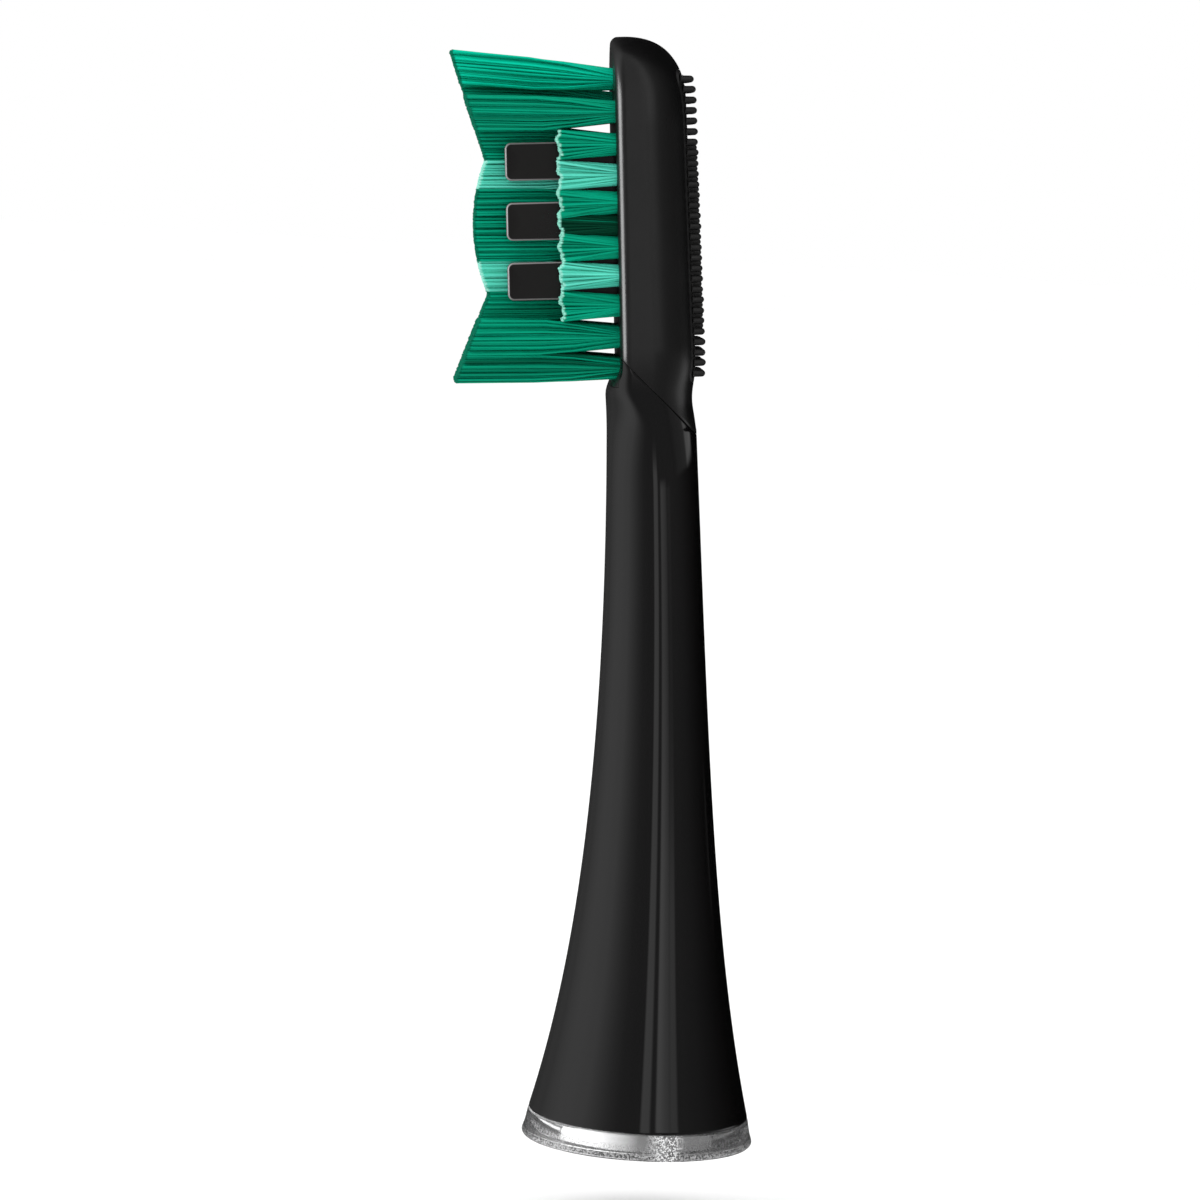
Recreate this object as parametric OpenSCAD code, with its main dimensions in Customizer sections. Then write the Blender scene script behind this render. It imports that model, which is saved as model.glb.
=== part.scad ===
// Replacement brush head for a sonic electric toothbrush: a flared hollow neck that pushes
// onto the handle's drive shaft, an oval head with bristle tufts, soft polishing blocks and
// a tongue cleaner on its back, and a clear marker ring at the base.
// Millimetres. +Z runs up the drive shaft's axis from the ring's bottom face, and the
// bristles face -Y.

/* [Neck] */
// Height of the neck's lower edge, which sits on the marker ring
neck_base = 2; // [1.5:0.1:3]
// Height of the neck's top, where the head begins
neck_top = 55.5; // [52:0.5:60]
// Outer radius at the neck's lower edge
base_r = 8.6; // [8.4:0.1:9.2]
// Radius that the slim end of the neck closes in on
waist_r = 3; // [2.9:0.05:3.3]
// Height over which the flare dies away
flare_len = 21.5; // [20:0.5:24]
// Thinnest wall round the hollow
neck_wall = 0.95; // [0.8:0.05:1.1]
// Lean of the head towards the bristle side, in degrees
head_tilt = 4.6; // [3:0.1:6]

/* [Head] */
// Half of the head's width
head_half_w = 5.75; // [5.6:0.05:6.2]
// Distance from the neck's top up to the middle of the bristle field
head_rise = 15.8; // [15.5:0.1:17]
// Distance from the middle of the field to the head's top
head_top = 14.3; // [14.1:0.1:15.5]
// Thickness of the head at the middle of the field
head_depth = 5.74; // [5.6:0.02:6.2]
// Depth of the neck's centreline behind the bristle face
axis_depth = 2.5; // [2.4:0.05:2.7]
// Width of the soft rim round the bristle face
rim_w = 0.6; // [0.5:0.05:0.65]
// Depth of the hard block that holds the tufts
block_depth = 3.8; // [3.6:0.1:4]
// Where the slanted seam between head and neck meets the bristle face
seam_at = -10.1; // [-10.4:0.1:-9.8]
// Slope of that seam, in degrees
seam_angle = 46; // [42:1:50]

/* [Bristles] */
// Radius of a tuft hole
hole_r = 0.8; // [0.78:0.01:0.84]
// Depth of a tuft hole
hole_depth = 3; // [2.6:0.1:3.2]
// Radius of a tuft where it leaves the face
tuft_r = 0.77; // [0.7:0.01:0.77]
// Radius of a long tuft at its tip
long_tip_r = 0.92; // [0.8:0.01:0.95]
// Radius of a short tuft at its tip
short_tip_r = 0.85; // [0.78:0.01:0.88]
// Height of the long tufts at the crown in the middle of the field
crown_h = 10.95; // [10:0.05:12]
// Height of the short outer tufts
short_h = 4.5; // [3.5:0.1:6]

/* [Polishing strips] */
// Height of a soft polishing block above the face
polish_h = 8.4; // [7:0.1:9]
// Length of a block along the head
polish_len = 2.9; // [2:0.1:3.2]
// Thickness of a strip and its blocks
polish_w = 1; // [0.8:0.05:1]
// Spacing of the three blocks on a strip
polish_pitch = 4.55; // [4:0.05:5]
// Height of the low rail that joins the blocks
rail_h = 3.9; // [1:0.1:4]

/* [Tongue cleaner] */
// Height of a nub above the head's back
nub_h = 0.75; // [0.5:0.05:1]
// Radius of a nub
nub_r = 0.28; // [0.22:0.01:0.3]
// Spacing of the nub rows along the head
nub_pitch = 0.8; // [0.75:0.05:1]

/* [Drive socket] */
// Radius of the round guide bore at the socket's mouth
guide_bore_r = 2.15; // [2.1:0.01:2.2]
// Radius of the bore above it, which takes the shaft's flatted tip
shaft_r = 1.95; // [1.9:0.01:1.97]
// Distance from the shaft's centre to its drive flat
flat_at = 1.45; // [1.3:0.05:1.6]
// Height of the socket's mouth
socket_base = 9; // [8:0.5:10]

/* [Marker ring] */
// Largest radius of the ring, at its foot
ring_r = 9; // [8.8:0.05:9.3]
// Radius of the round opening that the handle's nose enters
ring_bore_r = 6.2; // [6:0.05:6.3]
// Height of the ring's collar inside the neck
collar_top = 4.5; // [4:0.1:4.7]

/* [Hidden] */
$fn = 48;
gap = 0.03;        // fit between pieces that are assembled tight
seam_gap = 0.05;   // open line between head cover and neck
far = 60;          // reach of a cutting block
cut_room = 1.5;    // how far a cutter runs past the end that it opens
face_room = 5;     // and how far in front of the bristle face it starts

neck_lean = tan(head_tilt) / (2 * (neck_top - neck_base));
edge_round = 0.25; // rounding of the neck's lower edge
arc_steps = 8;     // points on each rounded quarter of a section

// ---- the outer form, as sections along the neck and head ----
// s is the distance along the centreline, t is the distance from the middle of the field
function smooth(u) = let(c = min(1, max(0, u))) c * c * (3 - 2 * c);
function mix(a, b, u) = a + (b - a) * u;
function rounding(r, over) = r - sqrt(r * r - over * over);
function neck_r(s) = waist_r + (base_r - waist_r) * exp(-(s - neck_base) / flare_len)
    - rounding(edge_round, max(0, neck_base + edge_round - s));
function neck_y(s) = -neck_lean * pow(s - neck_base, 2);
function t_of(s) = s - neck_top - head_rise;
function oval(t, from, to, power) = pow(1 - pow(max(0, (t - from) / (to - from)), power), 1 / power);

// half of the width seen from the bristle side
widen_from = neck_top - 4;
widen_to = neck_top + 6.5;
top_round_from = 7;
width_power = 2.5;   // above 2, an oval end is squarer than an ellipse
function half_w(s) =
    mix(neck_r(s), head_half_w, smooth((s - widen_from) / (widen_to - widen_from)))
    * oval(t_of(s), top_round_from, head_top, width_power);

// how far the section has turned from the neck's round into the head's D
turn_len = 5.5;
function headness(s) = smooth((s - neck_top) / turn_len);

// front and back of the section, measured back from the bristle face
face_round = 0.5;
chin_at = -13.2;
chin_len = 2.6;
function front(s) = let(t = t_of(s))
    (axis_depth - neck_r(s)) * (1 - smooth((t - chin_at) / chin_len))
    + rounding(face_round, max(0, t - head_top + face_round));
back_taper = 0.0172;
back_round_from = 9;
back_power = 2.6;
back_blend = 3;
dip_depth = 0.3;   // shallow dip across the back, where head and neck meet
dip_at = -13.4;
dip_len = 1.6;
function plain_back(t) =
    mix(face_round, head_depth - back_taper * t, oval(t, back_round_from, head_top, back_power));
function back(s) = let(t = t_of(s))
    s < neck_top ? axis_depth + neck_r(s)
    : mix(axis_depth + neck_r(s), plain_back(t), smooth((s - neck_top) / back_blend))
      - dip_depth * exp(-pow((t - dip_at) / dip_len, 2));

// one quarter of a section: corner centre, corner radii and the angle it starts at
function quarter(cx, cy, rx, ry, from) =
    [for (i = [0:arc_steps]) let(a = from + 90 * i / arc_steps) [cx + rx * cos(a), cy + ry * sin(a)]];

corner_r = 0.7;      // round the face's edge
back_corner_x = 0.75 * head_half_w;
back_corner_y = 0.62 * head_depth;
flat_min = 0.02;     // shortest straight stretch between two rounded quarters
function section(s) = let(
    a = half_w(s), f = front(s), b = back(s), h = headness(s), half = (b - f) / 2,
    rxf = min(mix(a, corner_r, h), a - flat_min),
    ryf = min(mix(half, corner_r, h), half - flat_min),
    rxb = min(mix(a, back_corner_x, h), a - flat_min),
    ryb = min(mix(half, back_corner_y, h), b - f - ryf - flat_min))
    concat(
        quarter(a - rxb, b - ryb, rxb, ryb, 0),
        quarter(-a + rxb, b - ryb, rxb, ryb, 90),
        quarter(-a + rxf, f + ryf, rxf, ryf, 180),
        quarter(a - rxf, f + ryf, rxf, ryf, 270));

// a section's points in space: below the neck's top the sections stand square to the
// curved centreline, and above it they all lean with the head
function centre(s) = s < neck_top
    ? [0, neck_y(s), s]
    : [0, neck_y(neck_top) - (s - neck_top) * sin(head_tilt), neck_top + (s - neck_top) * cos(head_tilt)];
function lean(s) = s < neck_top ? atan(2 * neck_lean * (s - neck_base)) : head_tilt;
function placed(s) = let(c = centre(s), w = lean(s))
    [for (p = section(s)) [p[0], c[1] + (p[1] - axis_depth) * cos(w), c[2] + (p[1] - axis_depth) * sin(w)]];

module loft(stations) {
    rings = [for (s = stations) placed(s)];
    n = len(rings[0]);
    last = len(rings) - 1;
    walls = [for (k = [0:last - 1], i = [0:n - 1]) let(j = (i + 1) % n)
        each [[k * n + i, (k + 1) * n + j, k * n + j], [k * n + i, (k + 1) * n + i, (k + 1) * n + j]]];
    foot = [for (i = [0:n - 1]) i];
    crown = [for (i = [n - 1:-1:0]) last * n + i];
    polyhedron(points = [for (r = rings) each r], faces = concat(walls, [foot, crown]), convexity = 6);
}

// the head's own frame: face at y = 0, bristles towards -y, z up the head
module head_frame() {
    translate([0, neck_y(neck_top), neck_top])
        rotate([head_tilt, 0, 0])
            translate([0, -axis_depth, head_rise])
                children();
}

// everything on the neck's side of the slanted seam, moved down by a gap
module neck_side(drop = 0) {
    head_frame() translate([0, 0, seam_at - drop]) rotate([-seam_angle, 0, 0])
        translate([-far, -2 * far, -3 * far]) cube([2 * far, 4 * far, 3 * far]);
}

// ---- the block that holds the tufts ----
block_low = -12.3;
crown_rim = 1.3;   // the rim is wider over the head's round end
block_steps = 24;
function block_outline(clear) = let(
    low = block_low - clear, high = head_top - crown_rim + clear, inset = rim_w - clear,
    side = [for (i = [0:block_steps]) let(t = mix(low, high, sin(90 * i / block_steps)))
        [(half_w(t + neck_top + head_rise - max(0, t - top_round_from)) - inset)
            * oval(t, top_round_from, high, width_power), t]])
    concat(side, [for (i = [block_steps - 1:-1:0]) [-side[i][0], side[i][1]]]);

module block_form(clear, from, to) {
    translate([0, to, 0]) rotate([90, 0, 0]) linear_extrude(to - from) polygon(block_outline(clear));
}

stem_r = 2.2;
stem_foot = -40;
stem_head = -11.5;
module stem_form(clear = 0, longer = 0) {
    translate([0, axis_depth, stem_foot - longer])
        cylinder(r = stem_r + clear, h = stem_head - stem_foot + longer);
}

// ---- tufts: [name, x, t, short, mint] ----
long_rows = [[11.05, [1.1]], [8.55, [1.9, 3.9]], [6.1, [0.95]], [3.8, [0.95]], [1.7, [0.95]],
    [-1.7, [0.95]], [-3.8, [0.95]], [-6.1, [0.95]], [-8.5, [1.05, 3.3]], [-10.9, [1.05, 3.1]]];
centre_tufts = [["tuft_centre_upper", 9.25], ["tuft_centre_middle", 0]];
short_x = 4.2;
short_first = 3;
short_last = 8;
between_x = 3.95;  // one more short tuft each side fills the wide space between rows 5 and 6
mint_rows = [4, 7];
column_names = ["inner", "outer"];
function is_mint(row) = len(search(row, mint_rows)) > 0;
function side_name(side) = side < 0 ? "left" : "right";
tufts = concat(
    [for (c = centre_tufts) [c[0], 0, c[1], false, false]],
    [for (i = [0:len(long_rows) - 1], side = [-1, 1], k = [0:len(long_rows[i][1]) - 1])
        [str("tuft_row", i + 1, "_", side_name(side), "_", column_names[k]),
            side * long_rows[i][1][k], long_rows[i][0], false, is_mint(i + 1)]],
    [for (i = [short_first:short_last], side = [-1, 1])
        [str("tuft_row", i, "_", side_name(side), "_short"), side * short_x, long_rows[i - 1][0], true,
            is_mint(i)]],
    [for (side = [-1, 1]) [str("tuft_between_", side_name(side)), side * between_x, 0, true, false]]);

// the long tips make a low crown between two rising ends
valley_at = 5.1;
crown_drop = 1;
upper_slope = 0.3;
lower_slope = 0.42;
function tip_h(t) =
    t > valley_at ? crown_h - crown_drop + upper_slope * (t - valley_at)
    : t < -valley_at ? crown_h - crown_drop - lower_slope * (t + valley_at)
    : crown_h - crown_drop * pow(t / valley_at, 2);
function tip_slope(t) = t > valley_at ? upper_slope : t < -valley_at ? -lower_slope
    : -2 * crown_drop * t / (valley_at * valley_at);
// the uppermost tufts lean out over the end of the head
function tuft_lean(t) = 0.8 + 5.4 * pow(max(0, t - 6) / 5, 2);

anchor_len = 1.5;
anchor_w = 0.25;
anchor_h = 1.3;
anchor_at = 1.2;   // depth of an anchor's upper edge below the face
tip_cut = 6;       // block that trims a tuft's tip to the brush's outline

module tuft(t) {
    lean_deg = tuft_lean(t[2]);
    full = tip_h(t[2]);
    tip_t = full * tan(lean_deg);
    height = t[3] ? short_h : tip_h(t[2] + tip_t);
    slope = t[3] ? 0 : tip_slope(t[2] + tip_t);
    color(t[4] ? "#67c1ad" : "#04795c")
    head_frame() translate([t[1], 0, t[2]]) difference() {
        union() {
            rotate([-90, 0, 0]) cylinder(r = tuft_r, h = hole_depth - gap);
            rotate([90 - lean_deg, 0, 0])
                cylinder(r1 = tuft_r, r2 = t[3] ? short_tip_r : long_tip_r, h = height + cut_room);
        }
        translate([0, -height, tip_t * height / full]) rotate([atan(slope), 0, 0])
            translate([-tip_cut / 2, -tip_cut, -tip_cut / 2]) cube(tip_cut);
        translate([-hole_r * 2, anchor_at - gap, -anchor_w / 2 - gap])
            cube([hole_r * 4, anchor_h + 2 * gap, anchor_w + 2 * gap]);
    }
}

// flat metal anchors that hold the folded bristles down in their holes
module tuft_anchors() {
    color("#b9a36a") head_frame() for (t = tufts)
        translate([t[1] - anchor_len / 2, anchor_at, t[2] - anchor_w / 2])
            cube([anchor_len, anchor_h, anchor_w]);
}

// ---- soft polishing strips, each with three blocks on a low rail ----
polish_x = 2.45;
polish_shift = 0.4;
polish_root = 1;
polish_round = 0.5;

module polish_block(w, len) {
    reach = polish_h - polish_round;
    rotate([0, -90, 0]) translate([0, 0, -w / 2]) linear_extrude(w) {
        translate([-len / 2, -reach]) square([len, reach]);
        translate([-len / 2 + polish_round, -polish_h]) square([len - 2 * polish_round, polish_h]);
        for (side = [-1, 1])
            translate([side * (len / 2 - polish_round), -reach]) circle(r = polish_round);
    }
}

module polish_form(side, clear = 0) {
    w = polish_w + 2 * clear;
    run = 2 * polish_pitch + polish_len + 2 * clear;
    translate([side * polish_x, 0, polish_shift]) {
        for (k = [-1:1]) translate([0, 0, k * polish_pitch]) polish_block(w, polish_len + 2 * clear);
        translate([-w / 2, -rail_h, -run / 2]) cube([w, rail_h + polish_root + clear, run]);
    }
}

module polishing_strip_left() {
    color("#1d1b19") head_frame() polish_form(-1);
}

module polishing_strip_right() {
    color("#1d1b19") head_frame() polish_form(1);
}

// ---- tongue cleaner ----
pad_half_w = 3.4;
pad_low = -12.2;
pad_high = 11.7;
pad_floor = 4.95;
pad_corner = 1.2;
nub_columns = [-2.6, -1.3, 0, 1.3, 2.6];
nub_rows = 29;
nub_first = 10.95;
plain_top = 6;     // rows in line at the upper end and at the lower end; the rows between
plain_foot = 5;    // them are staggered
nub_root = pad_floor + 0.1;

module pad_slab(clear = 0) {
    translate([0, far, 0]) rotate([90, 0, 0]) linear_extrude(far - pad_floor + clear)
        for (side = [-1, 1]) {
            translate([-pad_half_w - clear, pad_low + pad_corner])
                square([2 * (pad_half_w + clear), pad_high - pad_low - 2 * pad_corner]);
            translate([-pad_half_w + pad_corner, pad_low - clear])
                square([2 * (pad_half_w - pad_corner), pad_high - pad_low + 2 * clear]);
            for (end = [pad_low + pad_corner, pad_high - pad_corner])
                translate([side * (pad_half_w - pad_corner), end]) circle(r = pad_corner + clear);
        }
}

module nub(x, t) {
    crown = back(t + neck_top + head_rise) + nub_h - nub_r;
    translate([x, nub_root, t]) rotate([-90, 0, 0]) {
        cylinder(r = nub_r, h = crown - nub_root, $fn = 24);
        translate([0, 0, crown - nub_root]) sphere(r = nub_r, $fn = 24);
    }
}

// sections stand close together where the neck turns into the head and round the head's top
blend_step = 0.9;
field_low = -8;
field_step = 4.4;
crown_low = 5.4;
crown_flat = 0.02;
head_stations = concat(
    [for (i = [0:9]) neck_top - 2 + blend_step * i],
    [for (i = [0:3]) neck_top + head_rise + field_low + field_step * i],
    [for (i = [1:9]) neck_top + head_rise + mix(crown_low, head_top - crown_flat, sin(10 * i))]);

module tongue_cleaner() {
    color("#1b1a1b") {
        intersection() {
            loft(head_stations);
            head_frame() pad_slab();
        }
        head_frame() for (k = [0:nub_rows - 1], c = [0:len(nub_columns) - 1])
            nub(nub_columns[c], nub_first - nub_pitch * k
                - (k >= plain_top && k < nub_rows - plain_foot && c % 2 == 1 ? nub_pitch / 2 : 0));
    }
}

module head_cover() {
    color("#242324") difference() {
        loft(head_stations);
        neck_side(-seam_gap);
        head_frame() block_form(gap, -face_room, block_depth + gap);
        head_frame() pad_slab(gap);
        head_frame() stem_form(gap, cut_room);
    }
}

module head_core() {
    color("#2a2829") difference() {
        union() {
            intersection() {
                loft(head_stations);
                head_frame() block_form(0, -face_room, block_depth);
            }
            head_frame() stem_form();
        }
        head_frame() {
            for (t = tufts) translate([t[1], -cut_room, t[2]]) rotate([-90, 0, 0])
                cylinder(r = hole_r, h = hole_depth + cut_room);
            for (side = [-1, 1]) polish_form(side, gap);
            translate([0, axis_depth, stem_foot - cut_room])
                cylinder(r = spigot_r + gap, h = spigot_len + cut_room + gap);
        }
    }
}

// ---- neck ----
lip_r = 6.95;
lip_top = 4.8;
hollow_top = 30.5;
rib_w = 0.8;
rib_low = 13;
rib_high = 17;
rib_reach = 5.35;

straight_top = neck_top - 5.5;
seam_step = 0.8;
neck_stations = concat(
    [for (i = [0:2]) neck_base + edge_round * (1 - cos(30 * i))],
    [for (i = [0:18]) mix(neck_base + edge_round, straight_top, i / 18)],
    [for (i = [1:16]) straight_top + seam_step * i]);

module hollow() {
    rotate_extrude() polygon(concat(
        [[0, neck_base - 1], [lip_r, neck_base - 1], [lip_r, lip_top]],
        [for (z = [lip_top + 0.2, 10, 15, 20, 25, hollow_top]) [neck_r(z) + neck_y(z) - neck_wall, z]],
        [[0, hollow_top]]));
}

module neck_shell() {
    color("#161516") {
        difference() {
            intersection() {
                loft(neck_stations);
                neck_side();
            }
            hollow();
            head_frame() block_form(gap, -face_room, block_depth + gap);
            head_frame() stem_form(gap, cut_room);
        }
        for (a = [45:90:315]) rotate([0, 0, a]) translate([guide_r + seam_gap, -rib_w / 2, rib_low])
            cube([rib_reach - guide_r - seam_gap, rib_w, rib_high - rib_low]);
    }
}

// ---- drive socket ----
guide_r = 3.4;
guide_top = 17;
socket_r = 2.75;
bore_top = 29;
socket_top = 30.3;
spigot_r = 1.4;
spigot_len = 3;
spigot_foot = 1.6;   // how far the spigot is rooted below the stem's foot
window_low = 18.2;
window_high = 20.9;
window_half_w = 0.9;
window_deep = 1.1;   // a window's inner end, inside the bore's own wall

module drive_socket() {
    color("#d9d6cc") difference() {
        union() {
            translate([0, 0, socket_base]) cylinder(r = guide_r, h = guide_top - socket_base);
            translate([0, 0, guide_top]) cylinder(r = socket_r, h = socket_top - guide_top);
            head_frame() translate([0, axis_depth, stem_foot - spigot_foot])
                cylinder(r = spigot_r, h = spigot_len + spigot_foot - gap);
        }
        translate([0, 0, socket_base - cut_room])
            cylinder(r = guide_bore_r, h = guide_top - socket_base + cut_room);
        intersection() {
            translate([0, 0, guide_top - cut_room])
                cylinder(r = shaft_r, h = bore_top - guide_top + cut_room);
            translate([-socket_r, flat_at - 2 * socket_r, 0]) cube([2 * socket_r, 2 * socket_r, far]);
        }
        for (side = [0, 1]) mirror([side, 0, 0])
            translate([window_deep, -window_half_w, window_low])
                cube([socket_r, 2 * window_half_w, window_high - window_low]);
    }
}

// ---- spring clip that snaps into the shaft's groove: a band and two springy fingers ----
band_low = 25;
band_high = 27;
band_slot = 2;
strip_t = 0.25;
strip_w = 1.4;
finger_x = socket_r + gap;
finger_foot = 18;
bump_r = 0.55;
bump_z = 19.5;
bump_reach = 1.75;
bump_inset = 0.1;

module clip_finger() {
    bump_w = strip_w - 2 * bump_inset;
    translate([finger_x, -strip_w / 2, finger_foot])
        cube([strip_t, strip_w, band_low + cut_room - finger_foot]);
    translate([bump_reach + bump_r, bump_w / 2, bump_z]) rotate([90, 0, 0]) cylinder(r = bump_r, h = bump_w);
    translate([bump_reach + bump_r, -bump_w / 2, bump_z - bump_r])
        cube([finger_x + strip_t / 2 - bump_reach - bump_r, bump_w, 2 * bump_r]);
}

module shaft_clip() {
    color("#b8bbc0") {
        translate([0, 0, band_low]) difference() {
            cylinder(r = finger_x + strip_t, h = band_high - band_low);
            translate([0, 0, -cut_room]) cylinder(r = finger_x, h = far);
            translate([-band_slot / 2, 0, -cut_room]) cube([band_slot, far, far]);
        }
        for (side = [0, 1]) mirror([side, 0, 0]) clip_finger();
    }
}

// ---- marker ring ----
ring_round = 0.35;
ring_top = neck_base - seam_gap;
ring_shoulder_r = base_r + 0.02;
skirt_r = ring_shoulder_r + 0.12;
skirt_z = 1.2;
collar_r = lip_r - 0.1;

module base_ring() {
    color("#d8dadc", 0.6) rotate_extrude() polygon(concat(
        [[ring_bore_r, 0]],
        [for (i = [0:6]) let(a = -90 + 15 * i)
            [ring_r - ring_round + ring_round * cos(a), ring_round + ring_round * sin(a)]],
        [[skirt_r, skirt_z], [ring_shoulder_r, ring_top], [collar_r, ring_top],
            [collar_r, collar_top], [ring_bore_r, collar_top]]));
}

neck_shell();
head_core();
head_cover();
tongue_cleaner();
drive_socket();
shaft_clip();
base_ring();
tuft_anchors();
polishing_strip_left();
polishing_strip_right();
for (t = tufts) tuft(t);
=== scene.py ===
"""Looks of a sonic toothbrush brush head: glossy neck, satin head, bristles, rubber and clear ring.

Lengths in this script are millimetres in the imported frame, and MM turns them into Blender's metres.
"""
import math
import random

import bmesh
import bpy
import numpy as np
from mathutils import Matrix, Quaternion, Vector


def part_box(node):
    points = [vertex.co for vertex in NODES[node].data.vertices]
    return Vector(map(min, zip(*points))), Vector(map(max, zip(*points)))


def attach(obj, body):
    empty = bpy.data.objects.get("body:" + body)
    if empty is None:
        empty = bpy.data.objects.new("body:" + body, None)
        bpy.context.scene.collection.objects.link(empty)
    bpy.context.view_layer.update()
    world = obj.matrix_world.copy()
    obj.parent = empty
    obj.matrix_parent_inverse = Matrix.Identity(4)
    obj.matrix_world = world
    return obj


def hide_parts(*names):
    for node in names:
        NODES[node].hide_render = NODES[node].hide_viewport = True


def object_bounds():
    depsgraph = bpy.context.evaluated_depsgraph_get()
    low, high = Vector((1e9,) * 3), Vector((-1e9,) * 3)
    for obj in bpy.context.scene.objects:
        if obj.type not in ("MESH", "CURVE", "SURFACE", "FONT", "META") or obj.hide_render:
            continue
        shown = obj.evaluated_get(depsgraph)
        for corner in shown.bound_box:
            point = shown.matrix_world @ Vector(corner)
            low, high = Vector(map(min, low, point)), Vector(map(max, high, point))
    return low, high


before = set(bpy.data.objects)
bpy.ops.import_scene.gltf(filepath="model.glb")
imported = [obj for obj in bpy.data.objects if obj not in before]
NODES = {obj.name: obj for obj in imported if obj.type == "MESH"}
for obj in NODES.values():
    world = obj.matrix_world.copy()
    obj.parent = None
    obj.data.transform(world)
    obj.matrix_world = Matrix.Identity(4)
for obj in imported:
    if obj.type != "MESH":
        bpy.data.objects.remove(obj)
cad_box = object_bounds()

MM = 0.001
random.seed(7)

# ---- sizes from the frame
BODY = "brush_head"
_, cover_high = [np.array(c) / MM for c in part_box("head_cover")]
neck_low, _ = [np.array(c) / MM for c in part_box("neck_shell")]
_, ring_high = [np.array(c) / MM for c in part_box("base_ring")]

NECK_BASE = neck_low[2]
NECK_TOP = 55.5  # where the head begins
BASE_R = 8.6  # radius of the neck's foot
WAIST_R = 3.0  # radius that the slim end closes in on
FLARE_LEN = 21.5  # height over which the flare dies away
EDGE_ROUND = 0.25  # radius of the neck's lower edge
HEAD_TILT = math.radians(4.6)  # towards the bristles
HEAD_HALF_W = cover_high[0]
HEAD_RISE = 15.8  # from the neck's top up to the middle of the bristle field
HEAD_TOP = 14.3  # from there up to the head's top
TOP_GAP = 0.02  # the last section stops this far below the top
HEAD_DEPTH = 5.74
BACK_TAPER = 0.0172  # the head's back comes forward by this much for each mm of height
ROUND_FROM = 7  # height on the head where its outline starts to close
ROUND_POWER = 2.5  # how square that rounding is
BACK_ROUND_FROM, BACK_ROUND_POWER = 9, 2.6
CROWN_DEPTH = 0.5  # front and back meet this deep behind the face at the very top
AXIS_DEPTH = 2.5  # the neck's centreline behind the bristle face
NAPE_AT, NAPE_DEPTH, NAPE_LEN = -13.4, 0.3, 1.6  # the hollow at the back, below the head
THROAT_AT, THROAT_LEN = -13.2, 2.6  # where the neck's front meets the face
SHOULDER_START, SHOULDER_LEN = -4, 10.5  # the head widens over this height
BACK_BLEND, CORNER_BLEND = 3, 5.5  # heights of the changes above the neck
FRONT_CORNER = 0.7  # radius of the head's front corners
BACK_CORNER_X, BACK_CORNER_Y = 0.75, 0.62  # back corners, as shares of the head
LEAST = 0.004  # the least length of a flat between two corners
RIM_W = 0.6  # soft rim beside the face
CROWN_RIM = 1.3  # and above it
BLOCK_LOW = -12.3  # the tuft block's lowest height
BLOCK_DEPTH = 3.8  # and its depth behind the bristle face
FACE_ROOM = 5  # cutters for the face start this far in front of it
CUT_ROOM = 1.5  # and a stem's cutter ends this far below its foot
STEM_R, STEM_FOOT, STEM_HEAD = 2.2, -40, -11.5
SPIGOT_R, SPIGOT_LEN = 1.4, 3
SEAM_AT = -10.1  # height of the slanted seam at the face
SEAM_SLOPE = math.tan(math.radians(46))
SEAM_GAP = 0.006  # the cover starts this far above the neck
SEAM_EDGE = 0.07  # radius of the edges at the seam
SEAM_FLAT = 0.6  # width of the flat inside them
FIT = 0.03  # play round a part in its recess
NECK_LEAN = math.tan(HEAD_TILT) / (2 * (NECK_TOP - NECK_BASE))


# ---- the outer form
def smooth(u):
    c = min(1.0, max(0.0, u))
    return c * c * (3 - 2 * c)


def full_turn(steps):
    return np.linspace(0, 2 * math.pi, steps, endpoint=False)


def quarter_turn(steps):
    return np.linspace(0, math.pi / 2, steps)


def mix(a, b, u):
    return a + (b - a) * u


def rounding(r, over):
    return r - math.sqrt(max(0.0, r * r - over * over))


def oval(t, start, end, power):
    reach = max(0.0, (t - start) / (end - start))
    return max(0.0, 1 - reach ** power) ** (1 / power)


def neck_r(s):
    flare = (BASE_R - WAIST_R) * math.exp(-(s - NECK_BASE) / FLARE_LEN)
    return WAIST_R + flare - rounding(EDGE_ROUND, max(0.0, NECK_BASE + EDGE_ROUND - s))


def neck_y(s):
    return -NECK_LEAN * (s - NECK_BASE) ** 2


def t_of(s):
    return s - NECK_TOP - HEAD_RISE


def s_of(t):
    return t + NECK_TOP + HEAD_RISE


def half_w(s):
    widened = mix(neck_r(s), HEAD_HALF_W, smooth((s - NECK_TOP - SHOULDER_START) / SHOULDER_LEN))
    return widened * oval(t_of(s), ROUND_FROM, HEAD_TOP, ROUND_POWER)


def front(s):
    t = t_of(s)
    bulge = (AXIS_DEPTH - neck_r(s)) * (1 - smooth((t - THROAT_AT) / THROAT_LEN))
    return bulge + rounding(CROWN_DEPTH, min(CROWN_DEPTH, max(0.0, t - HEAD_TOP + CROWN_DEPTH)))


def back(s):
    t = t_of(s)
    if s < NECK_TOP:
        return AXIS_DEPTH + neck_r(s)
    closing = oval(t, BACK_ROUND_FROM, HEAD_TOP, BACK_ROUND_POWER)
    plain = mix(CROWN_DEPTH, HEAD_DEPTH - BACK_TAPER * t, closing)
    nape = NAPE_DEPTH * math.exp(-((t - NAPE_AT) / NAPE_LEN) ** 2)
    return mix(AXIS_DEPTH + neck_r(s), plain, smooth((s - NECK_TOP) / BACK_BLEND)) - nape


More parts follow.
